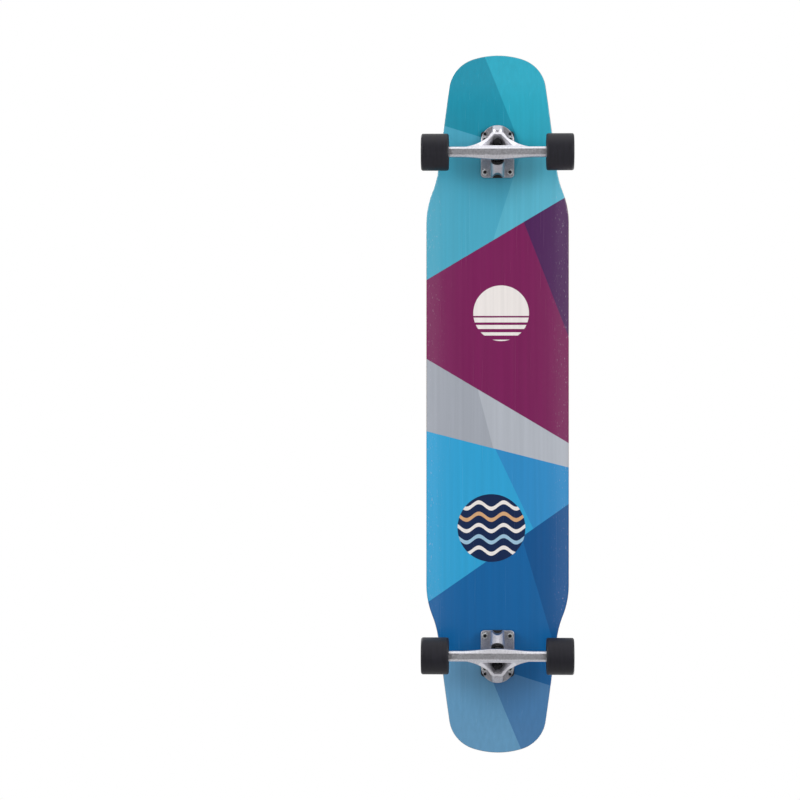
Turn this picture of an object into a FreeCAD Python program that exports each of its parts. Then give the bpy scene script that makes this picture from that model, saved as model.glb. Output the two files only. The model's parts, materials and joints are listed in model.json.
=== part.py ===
import FreeCAD
import Part
import math
import os

# A longboard: a laminated deck with a kicked nose and tail, on two trucks that lean to steer.
# Millimetres, +X to the nose, +Y to the rider's left, +Z up. The origin is on the ground under
# the middle of the deck. A truck's pieces are made in the truck's own frame, which has +X outward,
# +Y across and +Z up from the face of its baseplate. The rear truck is the front one turned round.

# Deck outline
deck_length = 1160.0
deck_width = 236.0
waist_width = 191.0
taper_angle = 7.6
tip_radius = 128.0
corner_radius = 58.0
shoulder_setback = 22.0
shoulder_hollow_radius = 150.0
shoulder_round_radius = 135.0

# Deck section, kicks and edges
deck_thickness = 11.0
flat_band_width = 76.0
rail_rise = 5.0
kick_setback = 61.0
kick_angle = 18.0
kick_bend_radius = 180.0
rail_round_top = 3.0
rail_round_bottom = 2.5

# Grip tape
grip_thickness = 0.8
grip_edge = 4.0
grip_hole_clearance = 0.6

# Truck places
truck_inset = 171.0
truck_height = 70.0
riser_thickness = 3.0

# Mounting bolts and nuts
bolt_spacing_across = 41.28
bolt_spacing_along = 53.98
bolt_diameter = 4.8
bolt_hole_clearance = 0.3
bolt_head_diameter = 9.6
bolt_head_height = 2.8
bolt_head_sink = 0.1
bolt_socket_diameter = 3.4
bolt_socket_depth = 1.9
bolt_tail = 1.6
bolt_head_rim = 0.3
bolt_tip_chamfer = 0.6
nut_across_flats = 9.5
nut_height = 4.8
nut_collar_height = 1.5
nut_chamfer_share = 0.06

# Baseplate
plate_width = 55.0
plate_inner_reach = 35.5
plate_outer_reach = 51.0
plate_thickness = 6.0
plate_corner_radius = 6.0
plate_edge_round = 1.2
spare_hole_step = 9.5
riser_outer_reach = 41.5
tab_width = 18.0
tab_inner = 37.0
tab_run = 5.0
tab_depth = 14.0
tab_end_inset = 1.0
tab_round = 2.0
tab_crown_radius = 11.0
web_width = 12.0
web_setback = 5.0

# Kingpin stack, in order along the kingpin
kingpin_lean = 28.0
kingpin_foot_setback = 6.0
kingpin_diameter = 9.5
kingpin_clearance = 0.25
kingpin_head_across_flats = 14.3
kingpin_head_height = 6.0
kingpin_head_floor = 6.2
head_pocket_clearance = 0.2
kingpin_seat = 17.0
boss_radius = 13.0
board_washer_thickness = 2.0
board_washer_radius = 10.5
board_bushing_height = 11.0
board_bushing_radius = 11.5
ring_thickness = 8.0
ring_hole_radius = 7.0
road_bushing_height = 8.0
road_bushing_radius = 9.5
road_bushing_taper = 1.2
road_bushing_land = 2.0
road_washer_thickness = 1.8
road_washer_radius = 8.5
kingpin_nut_across_flats = 14.3
kingpin_nut_height = 7.5
kingpin_nut_collar_height = 2.5
kingpin_tail = 2.0
kingpin_chamfer = 1.2
bushing_edge_round = 1.5

# Pivot
pivot_reach = 27.5
stem_angle = 45.0
pivot_ball_radius = 6.0
pivot_clearance = 0.1
pivot_neck_radius = 4.5
pivot_neck_length = 8.0
stem_root_radius = 9.0
stem_root_sink = 4.0
cup_radius = 8.1
cup_floor = 2.0
cup_seat_drop = 4.0
cup_flange_radius = 10.5
cup_flange_thickness = 2.2
cup_mouth_slack = 0.5
barrel_radius = 11.5
end_notch_radius = 9.7
end_notch_depth = 4.6

# Hanger
hanger_width = 180.0
beam_depth = 17.0
beam_flat_width = 9.6
beam_bow = 3.5
beam_bow_length = 120.0
beam_edge_round = 2.0
beam_stations = 12
yoke_inner_reach = 13.5
yoke_wall = 3.5
yoke_apex_wall = 5.0
pocket_reach = 11.5
pocket_apex_half = 7.5
pocket_wide_half = 15.5
pocket_inner_reach = 10.3
pocket_flare_length = 26.0
pocket_rim_apex_half = 5.5
pocket_rim_wide_half = 24.0
pocket_rim_inner_reach = 16.0
rim_apex_reach = 33.0
rim_apex_depth = 45.5
flare_depth = 5.5
flare_sink = 0.6
flare_radius = 70.0
flare_angle = 35.0
flare_apex_radius = 16.0
yoke_edge_round = 6.0
pocket_edge_round = 2.5

# Axle and its hardware
axle_diameter = 8.0
fit_clearance = 0.02
axle_washer_thickness = 1.0
axle_washer_radius = 5.8
axle_nut_across_flats = 12.7
axle_nut_height = 6.0
axle_nut_collar_height = 2.0
axle_tail = 1.0
axle_chamfer = 0.8

# Wheels
wheel_diameter = 60.0
wheel_width = 45.0
wheel_overhang = 11.0
wheel_edge_round = 3.5
wheel_lip_width = 6.0
wheel_recess_floor = 2.0
core_radius = 15.0
core_rib_height = 2.0
core_rib_width = 6.0
core_end_clearance = 0.5

# Bearings, 8 x 22 x 7
bearing_outside_diameter = 22.0
bearing_width = 7.0
bearing_spacing = 10.0
spacer_radius = 5.2
race_inner_land = 6.05
race_outer_land = 9.05
ball_diameter = 3.969
ball_pitch_radius = 7.5
ball_count = 7
ball_clearance = 0.05
shield_thickness = 0.4
shield_inset = 0.2
shield_gap = 0.25
cage_thickness = 1.2
cage_width = 5.2
cage_clearance = 0.12

# Worked out from the sizes above
half_length = deck_length / 2
half_width = deck_width / 2
axle_height = wheel_diameter / 2
plate_height = axle_height + truck_height
deck_bottom = plate_height + riser_thickness
deck_top = deck_bottom + deck_thickness
truck_centre = half_length - truck_inset
kick_start = truck_centre + kick_setback
bolt_hole_radius = bolt_diameter / 2 + bolt_hole_clearance

lean = math.radians(kingpin_lean)
kingpin_dir = FreeCAD.Vector(math.sin(lean), 0, -math.cos(lean))
steer_dir = FreeCAD.Vector(math.cos(lean), 0, math.sin(lean))
ring_start = kingpin_seat + board_washer_thickness + board_bushing_height
ring_end = ring_start + ring_thickness
road_washer_start = ring_end + road_bushing_height
kingpin_nut_start = road_washer_start + road_washer_thickness
kingpin_end = kingpin_nut_start + kingpin_nut_height + kingpin_tail
stem_dir = FreeCAD.Vector(math.cos(math.radians(stem_angle)), 0, -math.sin(math.radians(stem_angle)))


def along_kingpin(distance):
    return FreeCAD.Vector(-kingpin_foot_setback, 0, 0) + kingpin_dir * distance


ring_centre = along_kingpin((ring_start + ring_end) / 2)
pivot_point = ring_centre - steer_dir * pivot_reach
cup_seat = pivot_point + stem_dir * cup_seat_drop

hanger_end = hanger_width / 2
bearing_start = hanger_end + axle_washer_thickness
second_bearing_start = bearing_start + bearing_width + bearing_spacing
bearings_end = second_bearing_start + bearing_width
axle_nut_start = bearings_end + axle_washer_thickness
axle_end = axle_nut_start + axle_nut_height + axle_tail
wheel_start = hanger_end - wheel_overhang
wheel_end = wheel_start + wheel_width
core_start = bearing_start - core_end_clearance
core_end = bearings_end + core_end_clearance

UP = FreeCAD.Vector(0, 0, 1)
ACROSS = FreeCAD.Vector(0, 1, 0)
ORIGIN = FreeCAD.Vector(0, 0, 0)
OUTWARD = FreeCAD.Vector(1, 0, 0)
SAME = 0.01


def polar(centre, radius, degrees):
    angle = math.radians(degrees)
    return centre + FreeCAD.Vector(radius * math.cos(angle), radius * math.sin(angle), 0)


def arc(centre, radius, start, end):
    middle = polar(centre, radius, (start + end) / 2)
    return Part.Arc(polar(centre, radius, start), middle, polar(centre, radius, end)).toShape()


def line(start, end):
    return Part.LineSegment(start, end).toShape()


def face_of(edges):
    return Part.Face(Part.Wire(Part.__sortEdges__(edges)))


def polygon(points):
    return Part.Face(Part.makePolygon(points + points[:1]))


def side_prism(points, width):
    """A prism across the truck from (x, z) points, centred on the truck."""
    corners = [FreeCAD.Vector(x, -width / 2, z) for x, z in points]
    return polygon(corners).extrude(ACROSS * width)


def along(shape, base, direction):
    """A copy of a shape that was made up the Z axis, with its foot at base and along direction."""
    moved = shape.copy()
    moved.Placement = FreeCAD.Placement(base, FreeCAD.Rotation(UP, direction)).multiply(moved.Placement)
    return moved


def turned(profile):
    """The solid that (radius, height) points sweep about the Z axis."""
    return polygon([FreeCAD.Vector(r, 0, h) for r, h in profile]).revolve(ORIGIN, UP, 360)


def tube(outer_radius, inner_radius, start, end):
    return turned([(inner_radius, start), (outer_radius, start), (outer_radius, end), (inner_radius, end)])


def hexagon(across_flats, start, end, corner_angle=0.0):
    """A hexagonal prism up the Z axis, with its first corner at corner_angle from X."""
    radius = across_flats / 2 / math.cos(math.radians(30))
    corners = [polar(UP * start, radius, corner_angle + 60 * i) for i in range(6)]
    return polygon(corners).extrude(UP * (end - start))


def lock_nut(across_flats, height, collar_height, bore_radius, corner_angle=0.0):
    """A nut up the Z axis: a hexagon with chamfered corners under a plain round collar."""
    hex_height = height - collar_height
    chamfer = across_flats * nut_chamfer_share
    rim = across_flats / 2
    corner = rim / math.cos(math.radians(30))
    blank = hexagon(across_flats, 0, height, corner_angle)
    turned_shape = turned([
        (0, 0),
        (corner - chamfer, 0),
        (corner, chamfer),
        (corner, hex_height - chamfer),
        (corner - chamfer, hex_height),
        (rim - chamfer, hex_height),
        (rim - chamfer, height - chamfer),
        (rim - 2 * chamfer, height),
        (0, height),
    ])
    bore = Part.makeCylinder(bore_radius, height)
    return blank.common(turned_shape).cut(bore)


def rounded(shape, radius, wanted):
    """A shape with the edges that wanted picks rounded."""
    return shape.makeFillet(radius, [edge for edge in shape.Edges if wanted(edge)])


def bolt_places(step=0.0):
    """Where the mounting bolts stand in the truck's frame. A step moves the outer pair outward."""
    half_along = bolt_spacing_along / 2
    half_across = bolt_spacing_across / 2
    return [
        FreeCAD.Vector(x, y, 0)
        for x in (-half_along, half_along + step)
        for y in (-half_across, half_across)
    ]


def at_both_trucks(points):
    front = [point + FreeCAD.Vector(truck_centre, 0, 0) for point in points]
    return front + [FreeCAD.Vector(-point.x, -point.y, 0) for point in front]


# Deck

def outline_quarter(inset):
    """The deck's outline from mid-length to the tip on the left side, moved in by inset."""
    taper = math.radians(taper_angle)
    normal = FreeCAD.Vector(math.sin(taper), math.cos(taper), 0)
    waist = FreeCAD.Vector(truck_centre, waist_width / 2, 0)
    shoulder_end = waist + FreeCAD.Vector(-shoulder_setback, shoulder_setback * math.tan(taper), 0)

    hollow_centre = shoulder_end + normal * shoulder_hollow_radius
    round_centre_y = half_width - shoulder_round_radius
    reach = shoulder_hollow_radius + shoulder_round_radius
    steepest = math.acos((hollow_centre.y - round_centre_y) / reach)
    round_centre = FreeCAD.Vector(hollow_centre.x - reach * math.sin(steepest), round_centre_y, 0)
    steepest_angle = math.degrees(steepest)

    tip_centre = FreeCAD.Vector(half_length - tip_radius, 0, 0)
    centre_step = tip_radius - corner_radius
    rise = (normal.dot(waist - tip_centre) - corner_radius) / centre_step
    corner_angle = math.degrees(math.asin(rise)) - taper_angle
    corner_centre = polar(tip_centre, centre_step, corner_angle)

    round_radius = shoulder_round_radius - inset
    hollow_radius = shoulder_hollow_radius + inset
    taper_start = polar(hollow_centre, hollow_radius, 270 - taper_angle)
    taper_end = polar(corner_centre, corner_radius - inset, 90 - taper_angle)
    rail_end = polar(round_centre, round_radius, 90)
    return [
        line(FreeCAD.Vector(0, rail_end.y, 0), rail_end),
        arc(round_centre, round_radius, 90, 90 - steepest_angle),
        arc(hollow_centre, hollow_radius, 270 - steepest_angle, 270 - taper_angle),
        line(taper_start, taper_end),
        arc(corner_centre, corner_radius - inset, 90 - taper_angle, corner_angle),
        arc(tip_centre, tip_radius - inset, corner_angle, 0),
    ]


def outline_prism(inset):
    quarter = outline_quarter(inset)
    left = quarter + [edge.mirror(ORIGIN, OUTWARD) for edge in quarter]
    edges = left + [edge.mirror(ORIGIN, ACROSS) for edge in left]
    return face_of(edges).extrude(UP * (2 * deck_top))


def bent_band(low, high):
    """A band of board between two heights above the deck's lower face, wider and longer than the deck."""
    overshoot = deck_thickness
    flat_half = flat_band_width / 2
    concave_run = half_width - flat_half
    concave_radius = (concave_run ** 2 + rail_rise ** 2) / (2 * rail_rise)
    end_angle = math.degrees(math.asin((concave_run + overshoot) / concave_radius))

    def edge_arc(side, height):
        centre = FreeCAD.Vector(side * flat_half, deck_bottom + concave_radius, 0)
        return arc(centre, concave_radius - height, -90, -90 + side * end_angle)

    def edge_line(start, end):
        return line(start.Vertexes[-1].Point, end.Vertexes[-1].Point)

    low_right, low_left = edge_arc(1, low), edge_arc(-1, low)
    high_right, high_left = edge_arc(1, high), edge_arc(-1, high)
    edges = [low_right, low_left, high_right, high_left]
    edges.append(line(low_right.Vertexes[0].Point, low_left.Vertexes[0].Point))
    edges.append(line(high_right.Vertexes[0].Point, high_left.Vertexes[0].Point))
    edges.append(edge_line(low_right, high_right))
    edges.append(edge_line(low_left, high_left))
    section = face_of(edges)
    section.rotate(ORIGIN, FreeCAD.Vector(1, 1, 1), 120)

    section.translate(FreeCAD.Vector(kick_start, 0, 0))
    middle = section.extrude(FreeCAD.Vector(-2 * kick_start, 0, 0))
    bend_axis = FreeCAD.Vector(kick_start, 0, deck_top + kick_bend_radius)
    bend = section.revolve(bend_axis, -ACROSS, kick_angle)
    kick_section = section.copy()
    kick_section.rotate(bend_axis, -ACROSS, kick_angle)
    angle = math.radians(kick_angle)
    kick = kick_section.extrude(FreeCAD.Vector(math.cos(angle), 0, math.sin(angle)) * truck_inset)
    ends = [bend, kick]
    ends += [shape.mirror(ORIGIN, OUTWARD) for shape in (bend, kick)]
    return middle.multiFuse(ends).removeSplitter()


def is_upright(face):
    u0, u1, v0, v1 = face.ParameterRange
    return abs(face.normalAt((u0 + u1) / 2, (v0 + v1) / 2).z) < SAME


def rail_edges(board, upper):
    """The edges where the board's upright rim meets its upper or lower skin."""
    rim = [face for face in board.Faces if is_upright(face)]
    rim_edges = [edge for face in rim for edge in face.Edges]
    skin_edges = [edge for face in board.Faces if not is_upright(face) for edge in face.Edges]
    shared = [edge for edge in rim_edges if any(edge.isSame(other) for other in skin_edges)]

    def level(edge):
        return edge.CenterOfMass.z

    def is_upper(edge):
        place = edge.CenterOfMass
        near = [other for other in shared if other.CenterOfMass.distanceToPoint(place) < 2 * deck_thickness]
        return level(edge) >= max(level(other) for other in near) - deck_thickness / 2

    return [edge for edge in shared if is_upper(edge) == upper]


def deck():
    board = bent_band(0, deck_thickness).common(outline_prism(0)).Solids[0]
    board = board.makeFillet(rail_round_top, rail_edges(board, True))
    board = board.makeFillet(rail_round_bottom, rail_edges(board, False))
    head_radius = bolt_head_diameter / 2 + bolt_hole_clearance
    head_top = deck_top + grip_thickness - bolt_head_sink
    sink = turned([
        (0, head_top - bolt_head_height),
        (bolt_hole_radius, head_top - bolt_head_height),
        (head_radius, head_top),
        (0, head_top),
    ])
    drill = Part.makeCylinder(bolt_hole_radius, 2 * deck_top)
    for place in at_both_trucks(bolt_places()):
        for tool in (sink, drill):
            board = board.cut(tool.translated(place))
    return board


def grip_tape():
    sheet = bent_band(deck_thickness, deck_thickness + grip_thickness).common(outline_prism(grip_edge))
    punch = Part.makeCylinder(bolt_head_diameter / 2 + grip_hole_clearance, 2 * deck_top)
    for place in at_both_trucks(bolt_places()):
        sheet = sheet.cut(punch.translated(place))
    return sheet


# Mounting hardware and riser, in the truck's frame

def drilled(shape, places):
    drill = Part.makeCylinder(bolt_hole_radius, 4 * deck_thickness, UP * (-2 * deck_thickness))
    for place in places:
        shape = shape.cut(drill.translated(place))
    return shape


def riser_pad():
    length = plate_inner_reach + riser_outer_reach
    pad = Part.makeBox(length, plate_width, riser_thickness)
    pad.translate(FreeCAD.Vector(-plate_inner_reach, -plate_width / 2, 0))
    pad = rounded(pad, plate_corner_radius, lambda edge: edge.tangentAt(0).isParallel(UP, SAME))
    return drilled(pad, bolt_places())


def mounting_bolts():
    """Countersunk bolts whose heads are level with the grip tape."""
    head_top = riser_thickness + deck_thickness + grip_thickness - bolt_head_sink
    head_radius = bolt_head_diameter / 2
    shank = bolt_diameter / 2
    tip = -plate_thickness - nut_height - bolt_tail
    bolt = turned([
        (0, tip),
        (shank - bolt_tip_chamfer, tip),
        (shank, tip + bolt_tip_chamfer),
        (shank, head_top - bolt_head_height),
        (head_radius, head_top - bolt_head_rim),
        (head_radius, head_top),
        (0, head_top),
    ])
    socket = hexagon(bolt_socket_diameter, head_top - bolt_socket_depth, head_top)
    bolt = bolt.cut(socket)
    return Part.Compound([bolt.translated(place) for place in bolt_places()])


def mounting_nuts():
    nut = lock_nut(nut_across_flats, nut_height, nut_collar_height, bolt_diameter / 2 + fit_clearance)
    nut = along(nut, UP * -plate_thickness, -UP)
    return Part.Compound([nut.translated(place) for place in bolt_places()])


# Baseplate and the pieces that stand still on it

def plate_flange():
    half = plate_width / 2
    inner = -plate_inner_reach
    corner = plate_corner_radius
    end_centre = FreeCAD.Vector(plate_outer_reach - half, 0, 0)
    left_corner = FreeCAD.Vector(inner + corner, half - corner, 0)
    right_corner = FreeCAD.Vector(inner + corner, corner - half, 0)
    edges = [
        arc(end_centre, half, -90, 90),
        line(polar(end_centre, half, 90), polar(left_corner, corner, 90)),
        arc(left_corner, corner, 90, 180),
        line(polar(left_corner, corner, 180), polar(right_corner, corner, 180)),
        arc(right_corner, corner, 180, 270),
        line(polar(right_corner, corner, 270), polar(end_centre, half, -90)),
    ]
    flange = face_of(edges).extrude(UP * -plate_thickness)
    return rounded(flange, plate_edge_round, lambda edge: edge.CenterOfMass.z < SAME - plate_thickness)


def baseplate():
    """A cast plate with the kingpin's boss, the slanted barrel of the pivot cup and a web between."""
    reach = plate_outer_reach + plate_inner_reach
    corner = FreeCAD.Vector(-plate_inner_reach, -plate_width / 2, -reach)
    room = Part.makeBox(reach, plate_width, reach, corner)
    boss = Part.makeCylinder(boss_radius, reach + kingpin_seat, along_kingpin(-reach), kingpin_dir)
    barrel = Part.makeCylinder(barrel_radius, reach, cup_seat - stem_dir * reach, stem_dir)
    barrel_neck = cup_seat - stem_dir * web_setback
    barrel_top = barrel_neck + FreeCAD.Vector(-stem_dir.z, 0, stem_dir.x) * barrel_radius
    barrel_back = cup_seat.z + (cup_seat.x + plate_inner_reach) * math.tan(math.radians(stem_angle))
    boss_corner = along_kingpin(kingpin_seat) - steer_dir * boss_radius
    web = side_prism([
        (-plate_inner_reach, 0),
        (-plate_inner_reach, barrel_back),
        (barrel_neck.x, barrel_neck.z),
        (barrel_top.x, barrel_top.z),
        (boss_corner.x, boss_corner.z),
        (boss_corner.x + boss_radius, 0),
    ], web_width)
    tab_slope = tab_depth - plate_thickness
    tab = side_prism([
        (tab_inner - tab_slope, 0),
        (tab_inner - tab_slope, -plate_thickness),
        (tab_inner, -tab_depth),
        (tab_inner + tab_run, -tab_depth),
        (plate_outer_reach - tab_end_inset, -plate_thickness),
        (plate_outer_reach - tab_end_inset, 0),
    ], tab_width)
    tab = rounded(tab, tab_round, lambda edge: edge.CenterOfMass.z < -plate_thickness)
    tab = tab.common(Part.makeCylinder(tab_crown_radius, reach, UP * (tab_crown_radius - tab_depth), OUTWARD))
    raised = boss.multiFuse([barrel, web, tab]).common(room)
    plate = plate_flange().fuse(raised)

    cup_bore_depth = cup_seat_drop + pivot_ball_radius + cup_floor
    cup_bore = Part.makeCylinder(
        cup_radius + fit_clearance, cup_bore_depth, cup_seat - stem_dir * cup_bore_depth, stem_dir
    )
    notch_centre = end_notch_depth - end_notch_radius - plate_inner_reach
    notch = Part.makeCylinder(end_notch_radius, reach, FreeCAD.Vector(notch_centre, 0, -reach))
    pocket = hexagon(
        kingpin_head_across_flats + 2 * head_pocket_clearance, -reach, kingpin_seat - kingpin_head_floor
    )
    pocket = along(pocket, along_kingpin(0), kingpin_dir)
    pin_hole = Part.makeCylinder(
        kingpin_diameter / 2 + kingpin_clearance, 2 * reach, along_kingpin(-reach), kingpin_dir
    )
    plate = plate.cut(cup_bore).cut(notch).cut(pocket).cut(pin_hole)
    plate = drilled(plate, bolt_places())
    return drilled(plate, bolt_places(spare_hole_step)).removeSplitter()


def pivot_cup():
    """A urethane cup in the barrel, with a round seat for the pivot's ball and a flange outside."""
    ball_room = pivot_ball_radius + pivot_clearance
    seat = cup_seat_drop
    mouth = seat + cup_flange_thickness
    body = turned([
        (0, -ball_room - cup_floor + pivot_clearance),
        (cup_radius, -ball_room - cup_floor + pivot_clearance),
        (cup_radius, seat),
        (cup_flange_radius, seat),
        (cup_flange_radius, mouth),
        (0, mouth),
    ])
    opening = turned([(0, 0), (ball_room, 0), (ball_room + cup_mouth_slack, mouth), (0, mouth)])
    cup = body.cut(Part.makeSphere(ball_room)).cut(opening)
    return along(cup, pivot_point, stem_dir)


def kingpin():
    head_end = kingpin_seat - kingpin_head_floor
    head = hexagon(kingpin_head_across_flats, head_end - kingpin_head_height, head_end)
    radius = kingpin_diameter / 2
    shank = turned([
        (0, head_end - kingpin_head_height),
        (radius, head_end - kingpin_head_height),
        (radius, kingpin_end - kingpin_chamfer),
        (radius - kingpin_chamfer, kingpin_end),
        (0, kingpin_end),
    ])
    return along(head.fuse(shank), along_kingpin(0), kingpin_dir)


def kingpin_nut():
    nut = lock_nut(
        kingpin_nut_across_flats,
        kingpin_nut_height,
        kingpin_nut_collar_height,
        kingpin_diameter / 2 + fit_clearance,
        corner_angle=90.0,
    )
    return along(nut, along_kingpin(kingpin_nut_start), kingpin_dir)


def kingpin_ring(outer_radius, start, height):
    ring = tube(outer_radius, kingpin_diameter / 2 + kingpin_clearance, 0, height)
    return along(ring, along_kingpin(start), kingpin_dir)


def board_side_washer():
    return kingpin_ring(board_washer_radius, kingpin_seat, board_washer_thickness)


def road_side_washer():
    return kingpin_ring(road_washer_radius, road_washer_start, road_washer_thickness)


def board_side_bushing():
    """The barrel-shaped bushing between the baseplate and the hanger."""
    blank = tube(board_bushing_radius, kingpin_diameter / 2 + kingpin_clearance, 0, board_bushing_height)
    outer = [edge for edge in blank.Edges if abs(edge.BoundBox.XMax - board_bushing_radius) < SAME]
    blank = blank.makeFillet(bushing_edge_round, [edge for edge in outer if edge.Closed])
    return along(blank, along_kingpin(kingpin_seat + board_washer_thickness), kingpin_dir)


def road_side_bushing():
    """The cone-shaped bushing between the hanger and the kingpin's nut."""
    bore = kingpin_diameter / 2 + kingpin_clearance
    cone = turned([
        (bore, 0),
        (road_bushing_radius, 0),
        (road_bushing_radius, road_bushing_land),
        (road_bushing_radius - road_bushing_taper, road_bushing_height),
        (bore, road_bushing_height),
    ])
    return along(cone, along_kingpin(ring_end), kingpin_dir)


# Hanger and the pieces that steer with it

def beam_section(place):
    """The beam's octagon at a place across the truck. Its inner side bows out near the middle."""
    half = beam_depth / 2
    flat = beam_flat_width / 2
    bow_share = min(abs(place) / (beam_bow_length / 2), 1)
    inner = half + beam_bow * math.cos(math.pi / 2 * bow_share) ** 2
    bevel = half - flat
    corners = [
        (flat, -half),
        (half, -half + bevel),
        (half, half - bevel),
        (flat, half),
        (-flat, half),
        (-inner, half - bevel),
        (-inner, -half + bevel),
        (-flat, -half),
    ]
    points = [FreeCAD.Vector(x, place, z - truck_height) for x, z in corners]
    return Part.makePolygon(points + points[:1])


def beam():
    step = hanger_width / beam_stations
    sections = [beam_section(-hanger_end + step * i) for i in range(beam_stations + 1)]
    bar = Part.makeLoft(sections, True, False)
    return rounded(bar, beam_edge_round, lambda edge: edge.Length > hanger_end)


def yoke_frame(shape):
    """Moves a shape from the ring's own frame, with +Z against the kingpin, into the truck's frame."""
    moved = shape.copy()
    moved.Placement = FreeCAD.Placement(ring_centre, FreeCAD.Rotation(ACROSS, -kingpin_lean))
    return moved


def trapezoid(inner, outer, inner_half, outer_half, height):
    corners = [
        FreeCAD.Vector(outer, -outer_half, height),
        FreeCAD.Vector(outer, outer_half, height),
        FreeCAD.Vector(-inner, inner_half, height),
        FreeCAD.Vector(-inner, -inner_half, height),
    ]
    return Part.makePolygon(corners + corners[:1])


def pocket():
    """The flaring pocket that the road-side bushing and the nut sit in, open to the road."""
    floor = -ring_thickness / 2
    stretch = 2.0

    def spread(at_floor, at_rim):
        return at_floor + (at_rim - at_floor) * stretch

    top = trapezoid(pocket_inner_reach, pocket_reach, pocket_wide_half, pocket_apex_half, floor)
    bottom = trapezoid(
        spread(pocket_inner_reach, pocket_rim_inner_reach),
        pocket_reach,
        spread(pocket_wide_half, pocket_rim_wide_half),
        spread(pocket_apex_half, pocket_rim_apex_half),
        floor - pocket_flare_length * stretch,
    )
    hollow = Part.makeLoft([top, bottom], True, True)
    return yoke_frame(rounded(hollow, pocket_edge_round, is_apex_edge))


def is_apex_edge(edge):
    """True for the two upright edges at the outer end of the yoke or its pocket."""
    span = edge.BoundBox
    return span.ZLength > ring_thickness and span.XMin > 0


def yoke():
    """The walls round the pocket and the ring between the bushings."""
    wall = yoke_wall
    apex_reach = pocket_reach + yoke_apex_wall
    top = trapezoid(
        yoke_inner_reach,
        apex_reach,
        pocket_wide_half + wall,
        pocket_apex_half + wall,
        ring_thickness / 2,
    )
    bottom = trapezoid(
        pocket_rim_inner_reach + wall,
        apex_reach,
        pocket_rim_wide_half + wall,
        pocket_rim_apex_half + wall,
        -ring_thickness / 2 - pocket_flare_length,
    )
    walls = Part.makeLoft([top, bottom], True, True)
    return yoke_frame(rounded(walls, yoke_edge_round, is_apex_edge))


def rim_level(reach):
    """The height of the yoke's rim at a distance out from the axle. It starts level with the axle."""
    beam_side = beam_depth / 2
    slope = (truck_height - rim_apex_depth) / (rim_apex_reach - beam_side)
    return slope * (reach - beam_side) - truck_height


def flare():
    """The sloping shelf that runs from the beam out along both walls of the yoke."""
    angle = math.radians(flare_angle)
    beam_side = beam_depth / 2 - flare_sink
    tip_centre = FreeCAD.Vector(rim_apex_reach - flare_apex_radius, 0, 0)
    apex = polar(tip_centre, flare_apex_radius, flare_angle)
    corner = apex.y + (apex.x - beam_side) / math.tan(angle)
    tangent = flare_radius * math.tan(angle / 2)
    centre = FreeCAD.Vector(beam_side + flare_radius, corner + tangent, 0)
    bend = arc(centre, flare_radius, 180, 180 + flare_angle)
    start, end = bend.Vertexes[0].Point, bend.Vertexes[-1].Point
    root = FreeCAD.Vector(0, start.y, 0)
    half = [line(root, start), bend, line(end, apex)]
    edges = half + [edge.mirror(ORIGIN, ACROSS) for edge in half]
    edges.append(arc(tip_centre, flare_apex_radius, -flare_angle, flare_angle))
    edges.append(line(root, FreeCAD.Vector(0, -root.y, 0)))
    plan = face_of(edges).extrude(UP * -truck_height)
    root_level = rim_level(0)
    shelf = side_prism([
        (0, root_level),
        (rim_apex_reach, -rim_apex_depth),
        (rim_apex_reach, flare_depth - rim_apex_depth),
        (0, root_level + flare_depth),
    ], 2 * hanger_width)
    return plan.common(shelf)


def below_rim():
    """Everything lower than the rim of the yoke, out from the beam."""
    beam_side = beam_depth / 2
    far = 2 * rim_apex_reach
    return side_prism([
        (beam_side, rim_level(beam_side)),
        (far, rim_level(far)),
        (far, -2 * truck_height),
        (beam_side, -2 * truck_height),
    ], 2 * hanger_width)


def pivot_stem():
    """The post that ends in the pivot's ball."""
    root_end = stem_root_sink - pivot_point.x / math.cos(math.radians(stem_angle))
    post = turned([
        (0, 0),
        (pivot_neck_radius, 0),
        (pivot_neck_radius, pivot_neck_length),
        (stem_root_radius, root_end),
        (0, root_end),
    ])
    return along(post.fuse(Part.makeSphere(pivot_ball_radius)), pivot_point, stem_dir)


def hanger():
    walls = yoke().fuse(flare()).cut(below_rim())
    body = beam().multiFuse([walls, pivot_stem()])
    hole_start = along_kingpin(ring_start - ring_thickness / 2)
    ring_hole = Part.makeCylinder(ring_hole_radius, 2 * ring_thickness, hole_start, kingpin_dir)
    bore = Part.makeCylinder(
        axle_diameter / 2 + fit_clearance,
        hanger_width,
        FreeCAD.Vector(0, -hanger_end, -truck_height),
        ACROSS,
    )
    return body.cut(pocket()).cut(ring_hole).cut(bore).removeSplitter()


# Axle pieces, made up the Z axis of the axle's own frame with 0 at the middle of the truck

def on_axle(shape, side=1):
    """Moves a piece that was made up the Z axis onto the left or right half of the axle."""
    return along(shape, UP * -truck_height, ACROSS * side)


def both_sides(shapes):
    return Part.Compound([on_axle(shape, side) for side in (1, -1) for shape in shapes])


def axle():
    radius = axle_diameter / 2
    rod = turned([
        (0, -axle_end),
        (radius - axle_chamfer, -axle_end),
        (radius, axle_chamfer - axle_end),
        (radius, axle_end - axle_chamfer),
        (radius - axle_chamfer, axle_end),
        (0, axle_end),
    ])
    return on_axle(rod)


axle_bore = axle_diameter / 2 + fit_clearance


def axle_nuts():
    nut = lock_nut(axle_nut_across_flats, axle_nut_height, axle_nut_collar_height, axle_bore)
    return both_sides([nut.translated(UP * axle_nut_start)])


def axle_washers():
    washer = tube(axle_washer_radius, axle_bore, 0, axle_washer_thickness)
    return both_sides([washer.translated(UP * place) for place in (hanger_end, bearings_end)])


def bearing_spacers():
    spacer = tube(spacer_radius, axle_bore, bearing_start + bearing_width, second_bearing_start)
    return both_sides([spacer])


def in_both_bearings(shape):
    return [shape.translated(UP * place) for place in (bearing_start, second_bearing_start)]


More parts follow.
